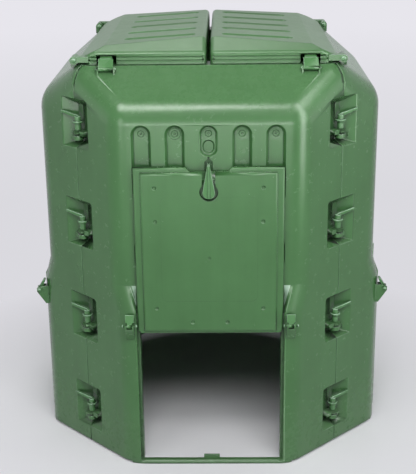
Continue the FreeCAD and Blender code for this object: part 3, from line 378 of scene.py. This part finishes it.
# %% [markdown]
# ## Soft edges
# No moulded piece has a knife edge: the tool that made it is rounded, and light runs along each rounding
# as a fine bright line. The frame's pieces come as loose triangles, so a copy is merged, its flat faces
# are joined up, and a Bevel modifier rounds every sharp edge. The width is cut down beside narrow faces,
# where roundings would collide.

# %% Merge a copy of a node
FLAT = math.radians(0.2)
WELD = 1e-5


def patches(bm, steepest):
    """Groups of faces that hang together over edges no steeper than the given angle."""
    left = set(bm.faces)
    groups = []
    while left:
        seed = left.pop()
        group, border = {seed}, [seed]
        while border:
            for edge in border.pop().edges:
                if len(edge.link_faces) == 2 and edge.calc_face_angle() <= steepest:
                    fresh = [face for face in edge.link_faces if face in left]
                    left.difference_update(fresh)
                    group.update(fresh)
                    border.extend(fresh)
        groups.append(group)
    return groups


def shells(bm):
    """Each closed shell as its faces and the two ends of its box."""
    for group in patches(bm, math.pi):
        places = np.array([v.co for face in group for v in face.verts])
        yield group, places.min(0), places.max(0)


def drop_sealed_hollows(bm):
    """Remove shells that lie inside another shell and can never be seen."""
    boxes = list(shells(bm))
    for group, low, high in boxes:
        if any((low > l).all() and (high < h).all() for other, l, h in boxes if other is not group):
            bmesh.ops.delete(bm, geom=list(group), context="FACES")


def merged_copy(name):
    """A welded copy of a node's mesh, with its flat faces joined up."""
    bm = bmesh.new()
    bm.from_mesh(nodes[name].data)
    bmesh.ops.remove_doubles(bm, verts=bm.verts, dist=WELD)
    drop_sealed_hollows(bm)
    bmesh.ops.dissolve_limit(bm, angle_limit=FLAT, verts=bm.verts, edges=bm.edges)
    return bm


print("copies are welded within %.2f mm" % (WELD / MM))

# %% [markdown]
# ## How wide each rounding may be
# Edges between the same two smooth patches form one run, such as the rim of a groove, and a run gets one
# width. A share of the narrower patch's width is an upper limit, and so is a share of how far the faces
# reach from the edge. Small features such as lugs also have crisper edges than the big panels, so the
# size of the patch sets a third limit. That can still be too much where many runs meet, so the result is
# tested for faces that fold back, and runs there are cut.

# %% Find the runs of sharp edges
ROUND_SHARE = 0.4
REACH_SHARE = 0.45
SIZE_SHARE = 0.045
SMALLEST_ROUND = 0.4 * MM


def reach_from(edge, face):
    """How far a face reaches away from one of its edges."""
    start, along = edge.verts[0].co, (edge.verts[1].co - edge.verts[0].co).normalized()
    return max((v.co - start).cross(along).length for v in face.verts)


def sharp_runs(bm, width, sharp):
    """The runs of sharp edges, as edge numbers, and the rounding that fits each run."""
    patch_of, room, size, runs = {}, [], [], {}
    for number, patch in enumerate(patches(bm, sharp)):
        border = sum(edge.calc_length() for face in patch for edge in face.edges
                     if not all(other in patch for other in edge.link_faces))
        area = sum(face.calc_area() for face in patch)
        room.append(2 * area / max(border, WELD))
        size.append(math.sqrt(area))
        patch_of.update((face, number) for face in patch)
    for edge in bm.edges:
        if len(edge.link_faces) == 2 and edge.calc_face_angle() > sharp:
            runs.setdefault(frozenset(patch_of[face] for face in edge.link_faces), []).append(edge)
    fits = []
    for sides, run in runs.items():
        reach = min(reach_from(edge, face) for edge in run for face in edge.link_faces)
        shares = [min(ROUND_SHARE * room[number], SIZE_SHARE * size[number]) for number in sides]
        fits.append(min([width, REACH_SHARE * reach] + shares))
    return [[edge.index for edge in run] for run in runs.values()], np.array(fits)


print("runs under %.1f mm stay sharp" % (SMALLEST_ROUND / MM))

# %% Find faces that fold back
FOLD_COSINE = math.cos(math.radians(150))
FOLD_AREA = 2e-8
TINY = 1e-15


def folded_points(mesh):
    """The corners of triangles that lie folded back on a neighbour."""
    mesh.calc_loop_triangles()
    place = np.empty(3 * len(mesh.vertices), np.float32)
    mesh.vertices.foreach_get("co", place)
    place = place.reshape(-1, 3).astype(float)
    tri = np.empty(3 * len(mesh.loop_triangles), np.int32)
    mesh.loop_triangles.foreach_get("vertices", tri)
    tri = tri.reshape(-1, 3)
    normal = np.cross(place[tri[:, 1]] - place[tri[:, 0]], place[tri[:, 2]] - place[tri[:, 0]])
    twice_area = np.linalg.norm(normal, axis=1)
    normal /= np.maximum(twice_area, TINY)[:, None]
    ends = np.sort(np.concatenate([tri[:, [0, 1]], tri[:, [1, 2]], tri[:, [2, 0]]]), axis=1)
    owner = np.tile(np.arange(len(tri)), 3)
    order = np.lexsort((ends[:, 1], ends[:, 0]))
    same = (ends[order[1:]] == ends[order[:-1]]).all(1)
    one, two = owner[order[1:]][same], owner[order[:-1]][same]
    opposed = (normal[one] * normal[two]).sum(1) < FOLD_COSINE
    fold = opposed & (np.minimum(twice_area[one], twice_area[two]) > 2 * FOLD_AREA)
    return place[np.unique(tri[np.concatenate([one[fold], two[fold]])])]


def edges_near(points, starts, ends, radius):
    """Which edges pass within the radius of any of the points."""
    along = ends - starts
    share = ((points[:, None] - starts) * along).sum(2) / np.maximum((along ** 2).sum(1), TINY)
    foot = starts + np.clip(share, 0.0, 1.0)[..., None] * along
    return (np.linalg.norm(points[:, None] - foot, axis=2) < radius).any(0)


print("fold test ready")

# %% [markdown]
# ## Rounding, weighted normals and edge marks
# Smooth shading averages the normals at a vertex, and on a big flat wall that would leave a stain round
# every rounding. The Weighted Normal modifier lets the larger face win, so flats stay flat and only the
# roundings turn. The marks for pale edges (wear and painted highlight) and for nooks (painted shade) live on
# face corners, so that they stop at the rounding and don't bleed over the flat face. A blunt crease is
# hardly touched by anything and shows no bright line, so the marks grow with the bend.

# %% Mark the roundings
ROUND_INDEX = 1
SLIGHT_BEND = math.radians(18)
FULL_BEND = math.radians(40)


def mark_edges(mesh):
    """Mark outer roundings as pale edges, inner ones for painted shade, and give every face the first
    material.
    """
    bm = bmesh.new()
    bm.from_mesh(mesh)
    bend = {face.index: sum(e.calc_face_angle_signed(0.0) for e in face.edges if len(e.link_faces) == 2)
            for face in bm.faces if face.material_index == ROUND_INDEX}
    bm.free()
    marks = {title: np.zeros(len(mesh.loops), np.float32) for title in ("rub_highlight", "nook")}
    for index, angle in bend.items():
        polygon = mesh.polygons[index]
        loops = slice(polygon.loop_start, polygon.loop_start + polygon.loop_total)
        amount = (abs(angle) - SLIGHT_BEND) / (FULL_BEND - SLIGHT_BEND)
        marks["rub_highlight" if angle > 0 else "nook"][loops] = min(1.0, max(0.0, amount))
    for title, values in marks.items():
        mesh.attributes.new(title, "FLOAT", "CORNER").data.foreach_set("value", values)
    mesh.polygons.foreach_set("material_index", [0] * len(mesh.polygons))
    mesh.materials.pop(index=ROUND_INDEX)


print("marks grow from %.0f to %.0f degrees of bend" % (math.degrees(SLIGHT_BEND), math.degrees(FULL_BEND)))

# %% Round the edges
TRIES = 7
FOLD_REACH = 1.5
FLAT_WEIGHT = 80


def evaluated(work):
    """The mesh that an object's modifiers make."""
    return bpy.data.meshes.new_from_object(work.evaluated_get(bpy.context.evaluated_depsgraph_get()))


def keep(work, made):
    """Give an object the mesh that its modifiers made, in place of the modifiers."""
    old = work.data
    work.modifiers.clear()
    work.data = made
    bpy.data.meshes.remove(old)
    made.name = work.name


def round_edges(work, runs, fits, width):
    """Evaluate the Bevel modifier, and halve the runs near any fold until none is left."""
    mesh = work.data
    weight = mesh.attributes.new("bevel_weight_edge", "FLOAT", "EDGE")
    values = np.zeros(len(mesh.edges), np.float32)
    edges = np.concatenate([np.array(run) for run in runs])
    run_of = np.repeat(np.arange(len(runs)), [len(run) for run in runs])
    corner = np.array([v.co for v in mesh.vertices])
    ends = np.array([mesh.edges[int(e)].vertices[:] for e in edges])
    for _ in range(TRIES):
        fits[fits < SMALLEST_ROUND] = 0.0
        values[edges] = fits[run_of] / width
        weight.data.foreach_set("value", values)
        mesh.update_tag()
        made = evaluated(work)
        points = folded_points(made)
        if not len(points):
            break
        hit = edges_near(points, corner[ends[:, 0]], corner[ends[:, 1]], FOLD_REACH * width)
        touched = np.unique(run_of[hit])
        if not fits[touched].any():
            break
        fits[touched] *= 0.5
    keep(work, made)
    return len(points)


def softened(bm, title, finish, width, sharp, segments):
    """A plain mesh object from bm, with its sharp edges rounded and marked."""
    bm.edges.index_update()
    runs, fits = sharp_runs(bm, width, sharp)
    mesh = bpy.data.meshes.new(title)
    bm.to_mesh(mesh)
    bm.free()
    mesh.materials.append(finish)
    mesh.materials.append(None)
    mesh.polygons.foreach_set("use_smooth", [True] * len(mesh.polygons))
    work = put(title, mesh)
    bevel = work.modifiers.new("round", "BEVEL")
    bevel.limit_method = "WEIGHT"
    bevel.width = width
    bevel.segments = segments
    bevel.use_clamp_overlap = False
    bevel.material = ROUND_INDEX
    weigh = work.modifiers.new("weigh", "WEIGHTED_NORMAL")
    weigh.weight = FLAT_WEIGHT
    weigh.keep_sharp = True
    left = round_edges(work, runs, fits, width)
    mark_edges(work.data)
    print("%s: %d of %d runs rounded, %d folded points left" % (title, (fits > 0).sum(), len(runs), left))
    return work


print("rounding takes up to", TRIES, "tries")

# %% Stand a piece in for a node
SHARP = math.radians(33)


def stand_in(piece, name):
    """Let a piece stand for the named node, on its body."""
    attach(piece, nodes[name]["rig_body"])
    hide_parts(name)


def dress(name, width, sharp=SHARP, segments=2):
    """Stand a softened copy in for the named node."""
    finish = finishes[slot_of[name]]
    piece = softened(merged_copy(name), name + "_moulding", finish, width, sharp, segments)
    stand_in(piece, name)
    return piece


def triangles(piece):
    return sum(len(p.vertices) - 2 for p in piece.data.polygons)


print("edges over %.0f degrees count as sharp" % math.degrees(SHARP))

# %% [markdown]
# ## Walls
# Each wall is one big blow-moulded panel, half a cut corner at either end, with pockets for the corner
# pins. Its roundings are the largest on the bin, about 3 mm, with three faces across so that the
# highlight is smooth. The slopes above the jambs, where the door's ears pass, get a painted highlight for
# the pale glare of the lamps on them, so the corners of their faces get a strong pale-edge mark.

# %% Dress the walls
SIDES = ("front", "right", "back", "left")
WALL_ROUND = 3.0 * MM
WALL_SEGMENTS = 3
SLOPE_LOW, SLOPE_HIGH = 0.39, 0.46
SLOPE_NORMAL_Z, SLOPE_CLOSE = 0.268, 0.02
SLOPE_SIDEWAYS = 0.95
# How strongly the slopes are painted pale, as a painted highlight.
SLOPE_HIGHLIGHT = 16.0


def is_slope(polygon):
    """Whether a face is one of the slopes above the jambs."""
    normal = polygon.normal
    return (abs(normal.z - SLOPE_NORMAL_Z) < SLOPE_CLOSE and SLOPE_LOW < polygon.center.z < SLOPE_HIGH
            and max(abs(normal.x), abs(normal.y)) > SLOPE_SIDEWAYS)


def paint_slope_highlights(mesh):
    """Write a strong pale-edge mark, a painted highlight, on the flat slopes above the jambs."""
    rub_highlight = mesh.attributes["rub_highlight"].data
    highlit = [polygon for polygon in mesh.polygons if is_slope(polygon)]
    for polygon in highlit:
        for loop in polygon.loop_indices:
            rub_highlight[loop].value = SLOPE_HIGHLIGHT
    return len(highlit)


for side in SIDES:
    wall = dress(side + "_wall", WALL_ROUND, segments=WALL_SEGMENTS)
    print(wall.name, triangles(wall), "triangles,", paint_slope_highlights(wall.data), "worn slopes")

# %% [markdown]
# ## Doors, lid flaps and fittings
# The same rounding serves the smaller pieces, with a smaller width: a lid flap or door has about 1.5 to 2
# mm, and a pin, clip or catch about 1 mm. The lid's steps are blunt, so there a smaller angle already
# counts as sharp.

# %% Dress the doors and the lid
DOOR_ROUND, LID_ROUND = 1.5 * MM, 2.0 * MM
LID_SHARP = math.radians(18)

for side in SIDES:
    dress(side + "_door", DOOR_ROUND)
for side in ("right", "left"):
    dress(side + "_lid_flap", LID_ROUND, LID_SHARP)

# %% Dress the clips, catches and cross pins
FITTING_ROUND = 1.0 * MM
CURVED = ("corner_pin_", "_door_lever")
curved_nodes = [name for name in sorted(nodes) if any(part in name for part in CURVED)]

for name in sorted(nodes):
    if slot_of[name] == "fitting_plastic" and name not in curved_nodes:
        dress(name, FITTING_ROUND)

# %% [markdown]
# ## Corner pins and door levers
# A corner pin is turned like a bolt and has a bent lever on top, and a door lever is a drop with a ridge.
# Their faces meet in curves, where a bevel has no room. A voxel remesh turns each into one skin of small
# even faces, and a few passes of smoothing then give it the soft fillets of a cast piece. The bend at
# each vertex gives the marks.

# %% Cast the pins and levers as one soft skin
VOXEL = 0.8 * MM
SMOOTH_FACTOR = 0.5
SMOOTH_PASSES = 4
FULL_VERTEX_BEND = 0.22


def mark_bends(mesh):
    """Mark pale edges and painted shade from how far the faces round each vertex turn outwards or inwards.
    """
    bm = bmesh.new()
    bm.from_mesh(mesh)
    bend = np.array([np.mean([e.calc_face_angle_signed(0.0) for e in v.link_edges]) for v in bm.verts])
    bm.free()
    for title, sign in (("rub_highlight", 1), ("nook", -1)):
        amount = np.clip(sign * bend / FULL_VERTEX_BEND, 0.0, 1.0).astype(np.float32)
        mesh.attributes.new(title, "FLOAT", "POINT").data.foreach_set("value", amount)


def cast(name):
    """Stand a remeshed and smoothed copy in for the named node."""
    mesh = bpy.data.meshes.new(name + "_moulding")
    bm = merged_copy(name)
    bm.to_mesh(mesh)
    bm.free()
    work = put(mesh.name, mesh)
    skin = work.modifiers.new("one_skin", "REMESH")
    skin.mode = "VOXEL"
    skin.voxel_size = VOXEL
    soft = work.modifiers.new("soften", "SMOOTH")
    soft.factor = SMOOTH_FACTOR
    soft.iterations = SMOOTH_PASSES
    made = evaluated(work)
    keep(work, made)
    made.polygons.foreach_set("use_smooth", [True] * len(made.polygons))
    mark_bends(made)
    made.materials.clear()
    made.materials.append(finishes[slot_of[name]])
    stand_in(work, name)
    return work


cast_pieces = [cast(name) for name in curved_nodes]
print(len(cast_pieces), "cast pieces,", sum(triangles(piece) for piece in cast_pieces), "triangles")

# %% [markdown]
# ## Heads on the cross pins
# Each clip, catch and hinge turns on a cross pin with a domed head at either end, so that it can't slide
# out. All the heads are alike but for their size, so Geometry Nodes make them: one dome, instanced on a
# point at every pin end, and turned along the pin. Modelling each by hand would also work, but here one
# tree and a few numbers do.

# %% Tree: domed heads on points
HARD_EDGE = math.radians(40)
HEAD_SEGMENTS, HEAD_RINGS = 24, 16


def start_geometry(title, inputs):
    """A geometry tree with named inputs after the first, which is the base mesh."""
    inputs = [("Geometry", SHAPE, None)] + inputs
    return start_group(title, inputs, [("Geometry", SHAPE)], "GeometryNodeTree")


def end_geometry(tree, instances, result, finish):
    """Realize the instances, keep hard edges hard and set the finish."""
    real = add(tree, "GeometryNodeRealizeInstances", {0: instances})
    angle = add(tree, "GeometryNodeInputMeshEdgeAngle").outputs["Unsigned Angle"]
    hard = add(tree, "FunctionNodeCompare", {"A": angle, "B": HARD_EDGE}, operation="GREATER_THAN")
    faces = add(tree, "GeometryNodeSetShadeSmooth", {"Geometry": real.outputs[0], "Shade Smooth": True})
    edges = add(tree, "GeometryNodeSetShadeSmooth", {
        "Geometry": faces.outputs[0], "Selection": hard.outputs["Result"], "Shade Smooth": False},
        domain="EDGE")
    painted = add(tree, "GeometryNodeSetMaterial", {"Geometry": edges.outputs[0], "Material": finish})
    feed(tree, result, {0: painted.outputs[0]})


def head_tree(finish):
    tree, given, result = start_geometry("domed_heads", [("Proud", NUMBER, 0.7), ("Spread", NUMBER, 1.5)])
    ball = add(tree, "GeometryNodeMeshUVSphere",
               {"Segments": HEAD_SEGMENTS, "Rings": HEAD_RINGS, "Radius": 1.0})
    position = add(tree, "GeometryNodeInputPosition").outputs[0]
    part = add(tree, "ShaderNodeSeparateXYZ", {0: position}).outputs
    flat = maths(tree, "MULTIPLY", maths(tree, "MAXIMUM", part["Z"], 0.0), given.outputs["Proud"])
    place = add(tree, "ShaderNodeCombineXYZ", {"X": part["X"], "Y": part["Y"], "Z": flat})
    dome = add(tree, "GeometryNodeSetPosition",
               {"Geometry": ball.outputs["Mesh"], "Position": place.outputs[0]})
    axis = add(tree, "GeometryNodeInputNamedAttribute", {"Name": "axis"}, data_type="FLOAT_VECTOR")
    radius = add(tree, "GeometryNodeInputNamedAttribute", {"Name": "radius"}, data_type="FLOAT")
    aligned = add(tree, "FunctionNodeAlignRotationToVector", {"Vector": axis.outputs["Attribute"]}, axis="Z")
    wide = maths(tree, "MULTIPLY", radius.outputs["Attribute"], given.outputs["Spread"])
    heads = add(tree, "GeometryNodeInstanceOnPoints", {
        "Points": given.outputs["Geometry"], "Instance": dome.outputs[0], "Rotation": aligned.outputs[0],
        "Scale": wide})
    end_geometry(tree, heads.outputs[0], result, finish)
    return tree


heads_tree = head_tree(finishes["fitting_plastic"])
print("tree domed_heads:", len(heads_tree.nodes), "nodes")

# %% Find the pin ends and make the heads
HEAD_SUNK = 0.2 * MM
HEADS = {
    "door_clip_pins": {"Proud": 0.75, "Spread": 1.75},
    "lid_catch_pins": {"Proud": 0.70, "Spread": 1.55},
    "lid_hinge_pins": {"Proud": 0.50, "Spread": 1.40},
}


def pin_ends(name):
    """The two ends of every pin in a node: places, directions outwards and radii."""
    bm = merged_copy(name)
    places, axes, radii = [], [], []
    for _, low, high in shells(bm):
        size = high - low
        along = int(size.argmax())
        for sign in (-1, 1):
            axis = np.zeros(3)
            axis[along] = sign
            places.append((low + high) / 2 + axis * (size[along] / 2 - HEAD_SUNK))
            axes.append(axis)
            radii.append(size.min() / 2)
    bm.free()
    return places, axes, radii


def grow(title, mesh, tree, values, body):
    """Run a geometry tree on a base mesh, and keep the result as a plain piece on the body."""
    work = put(title, mesh)
    maker = work.modifiers.new("maker", "NODES")
    maker.node_group = tree
    names = {item.name: item.identifier for item in tree.interface.items_tree if item.in_out == "INPUT"}
    for label, value in values.items():
        maker[names[label]] = value
    made = evaluated(work)
    keep(work, made)
    mark_bends(made)
    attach(work, body)
    places = np.array([v.co for v in made.vertices])
    ends = (places.min(0).round(4), places.max(0).round(4))
    print("%s: %d triangles, from %s to %s" % (title, triangles(work), *ends))


for name, values in HEADS.items():
    places, axes, radii = pin_ends(name)
    base = bpy.data.meshes.new(name + "_ends")
    base.from_pydata([tuple(place) for place in places], [], [])
    base.attributes.new("axis", "FLOAT_VECTOR", "POINT").data.foreach_set(
        "vector", np.array(axes, np.float32).ravel())
    base.attributes.new("radius", "FLOAT", "POINT").data.foreach_set("value", np.array(radii, np.float32))
    grow(name + "_heads", base, heads_tree, values, nodes[name]["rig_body"])

# %% [markdown]
# ## Ribs under the lid
# A flap this thin would sag, so ribs run out from the ridge on its underside, between the grooves. A rib
# is a tapered bar, thinner at its free edge so that it leaves the tool. A line of points carries one rib
# each, and the tree lays the bar along the underside's slope.

# %% Tree: ribs on a line of points
RIB_PITCH = 96 * MM
RIB_COUNT = 4
RIB_HEIGHT, RIB_ROOT, RIB_EDGE = 11 * MM, 4.5 * MM, 3.0 * MM
RIB_INNER, RIB_OUTER = Vector((12, 0, 991.6)) * MM, Vector((228, 0, 977.3)) * MM


def rib_tree(finish):
    tree, given, result = start_geometry("tapered_ribs", [
        ("Inner End", VECTOR, (0.0, 0.0, 0.0)), ("Outer End", VECTOR, (1.0, 0.0, 0.0)),
        ("Height", NUMBER, 0.01), ("Root", NUMBER, 0.004), ("Edge", NUMBER, 0.003)])
    socket = given.outputs
    path = add(tree, "GeometryNodeCurvePrimitiveLine",
               {"Start": socket["Inner End"], "End": socket["Outer End"]})
    upright = add(tree, "GeometryNodeSetCurveNormal", {"Curve": path.outputs[0]}, mode="Z_UP")
    section = add(tree, "GeometryNodeCurvePrimitiveQuadrilateral", {
        "Offset": 0.0, "Bottom Width": socket["Edge"], "Top Width": socket["Root"],
        "Height": socket["Height"]},
        mode="TRAPEZOID")
    bar = add(tree, "GeometryNodeCurveToMesh", {
        "Curve": upright.outputs[0], "Profile Curve": section.outputs[0], "Fill Caps": True})
    ribs = add(tree, "GeometryNodeInstanceOnPoints",
               {"Points": socket["Geometry"], "Instance": bar.outputs[0]})
    end_geometry(tree, ribs.outputs[0], result, finish)
    return tree


ribs_tree = rib_tree(finishes["lid_plastic"])
rib_rows = [(step - (RIB_COUNT - 1) / 2) * RIB_PITCH for step in range(RIB_COUNT)]
for side, sign in (("right", 1), ("left", -1)):
    rows = bpy.data.meshes.new(side + "_rib_rows")
    rows.from_pydata([(0.0, row, -RIB_HEIGHT / 2) for row in rib_rows], [], [])
    inner, outer = (Vector((sign * end.x, end.y, end.z)) for end in (RIB_INNER, RIB_OUTER))
    grow(side + "_lid_ribs", rows, ribs_tree,
         {"Inner End": inner, "Outer End": outer, "Height": RIB_HEIGHT, "Root": RIB_ROOT, "Edge": RIB_EDGE},
         nodes[side + "_lid_flap"]["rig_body"])

# %% [markdown]
# ## Floor and backdrop
# The bin stands on a sweep of pale paper. Near the bin the paper is an ordinary matt surface that takes
# the shadow; further away it glows at its own colour for the camera and for reflections, so that the
# background stays even.

# %% Lay the floor
FLOOR_HALF = 30.0
PAPER_DIM, PAPER_WHITE = (0.81, 0.81, 0.84, 1.0), (0.87, 0.87, 0.89, 1.0)
PAPER_GLOW, PAPER_FAR = (0.70, 0.695, 0.735, 1.0), (0.80, 0.79, 0.84, 1.0)
PAPER_ROUGHNESS, PAPER_SHINE = 0.9, 0.1
CREASE_SCALE, CREASE_DEPTH, CREASE_STRENGTH = 1.6, 0.01, 0.2
GLOW_STARTS, GLOW_FULL = 0.36, 0.95
FAR_STARTS, FAR_FULL = 2.0, 7.0


def paper_finish():
    finish, tree = new_finish("pale_paper")
    place = own_place(tree)
    creases = noise(tree, place, CREASE_SCALE, detail=4.0, distortion=0.8)
    dent = add(tree, "ShaderNodeBump",
               {"Strength": CREASE_STRENGTH, "Distance": CREASE_DEPTH, "Height": creases})
    near = tree.nodes["Principled BSDF"]
    feed(tree, near, {
        "Base Color": blend(tree, creases, PAPER_DIM, PAPER_WHITE), "Roughness": PAPER_ROUGHNESS,
        "Specular IOR Level": PAPER_SHINE, "Normal": dent.outputs["Normal"]})
    distance = add(tree, "ShaderNodeVectorMath", {0: place}, operation="LENGTH").outputs["Value"]
    glow = blend(tree, remap(tree, distance, FAR_STARTS, FAR_FULL), PAPER_GLOW, PAPER_FAR)
    far = add(tree, "ShaderNodeEmission", {"Color": glow, "Strength": 1.0})
    share = maths(tree, "MULTIPLY", looked_at(tree), remap(tree, distance, GLOW_STARTS, GLOW_FULL))
    mix = add(tree, "ShaderNodeMixShader", {0: share, 1: near.outputs[0], 2: far.outputs[0]})
    feed(tree, tree.nodes["Material Output"], {"Surface": mix.outputs[0]})
    return finish


sheet = bpy.data.meshes.new("studio_floor")
corners = [(x * FLOOR_HALF, y * FLOOR_HALF, 0.0) for x, y in ((-1, -1), (1, -1), (1, 1), (-1, 1))]
sheet.from_pydata(corners, [], [(0, 1, 2, 3)])
sheet.materials.append(paper_finish())
floor = put("studio_floor", sheet)
print("floor: %.0f m square" % (2 * FLOOR_HALF))

# %% [markdown]
# ## Light
# Soft boxes stand high in front of the bin and behind it, and lower at both sides. The reflections of the
# high ones are the bright patches on the upper bends, and little of their light gets in under the raised
# door. Two more light the front and the back and never show in the plastic. Cards do the opposite: they
# light nothing and show only in reflections, as the pale lines on the bends and the sloping jambs. Single
# bare lamps would be simpler, but a lamp's size is what makes a highlight soft.

# %% Set the lights
AIM = Vector((0.0, 0.0, 0.55))


def soft_box(title, place, size, watts, lights=True, shows=True):
    """An area lamp aimed at the bin, which may light it, show in its reflections, or both."""
    lamp = bpy.data.lights.new(title, "AREA")
    lamp.shape = "RECTANGLE"
    lamp.size, lamp.size_y = size
    lamp.energy = watts
    holder = put(title, lamp)
    holder.location = place
    holder.rotation_euler = (AIM - Vector(place)).to_track_quat("-Z", "Y").to_euler()
    holder.visible_camera = False
    holder.visible_diffuse = lights
    holder.visible_glossy = shows


soft_box("left_soft_box", (-1.15, -1.86, 2.81), (0.80, 0.95), 10.0)
soft_box("right_soft_box", (1.15, -1.86, 2.81), (0.80, 0.95), 12.0)
soft_box("front_key", (0.0, -2.10, 2.95), (0.70, 0.50), 14.0)
soft_box("front_fill", (0.25, -1.80, 1.65), (1.40, 0.50), 20.0, shows=False)
soft_box("left_fill", (-2.60, -0.50, 1.00), (1.00, 1.40), 3.0)
soft_box("right_fill", (2.60, -0.50, 1.00), (1.00, 1.40), 6.0)
soft_box("top_back_box", (-0.30, 0.65, 3.00), (1.30, 0.70), 12.0)
soft_box("back_fill", (0.30, 2.60, 1.80), (1.60, 0.80), 16.0, shows=False)
soft_box("left_high_card", (-0.80, -1.85, 2.79), (1.50, 0.90), 33.0, lights=False)
soft_box("left_card", (-1.20, -2.45, 0.75), (0.35, 0.95), 8.0, lights=False)
soft_box("right_strip_card", (1.15, -1.13, 1.20), (0.50, 1.90), 24.0, lights=False)
soft_box("low_card", (0.0, -3.00, 0.53), (1.60, 0.30), 18.0, lights=False)
print("light: 6 soft boxes, 2 that never show and 4 cards")

# %% [markdown]
# ## Room
# The room round the bin has the far paper's colour near the horizon, so that no line shows where they
# meet, and is dimmer overhead. It is seen at full strength, but lights the bin with much less, so that
# the shadows stay deep.

# %% Set the room
ROOM_LEVEL, ROOM_HIGH = 0.1, 0.8
OVERHEAD_STRENGTH = 0.60
LIGHT_STRENGTH = 0.38

room = bpy.data.worlds.new("white_room")
scene.world = room
room.use_nodes = True
sky = room.node_tree
direction = add(sky, "ShaderNodeTexCoord").outputs["Generated"]
fall = remap(sky, upward(sky, direction), ROOM_LEVEL, ROOM_HIGH, to_low=1.0, to_high=OVERHEAD_STRENGTH)
seen = remap(sky, looked_at(sky), 0.0, 1.0, to_low=LIGHT_STRENGTH)
feed(sky, sky.nodes["Background"], {"Color": PAPER_FAR, "Strength": maths(sky, "MULTIPLY", fall, seen)})
scene.view_settings.view_transform = "Standard"
print("room:", len(sky.nodes), "nodes")
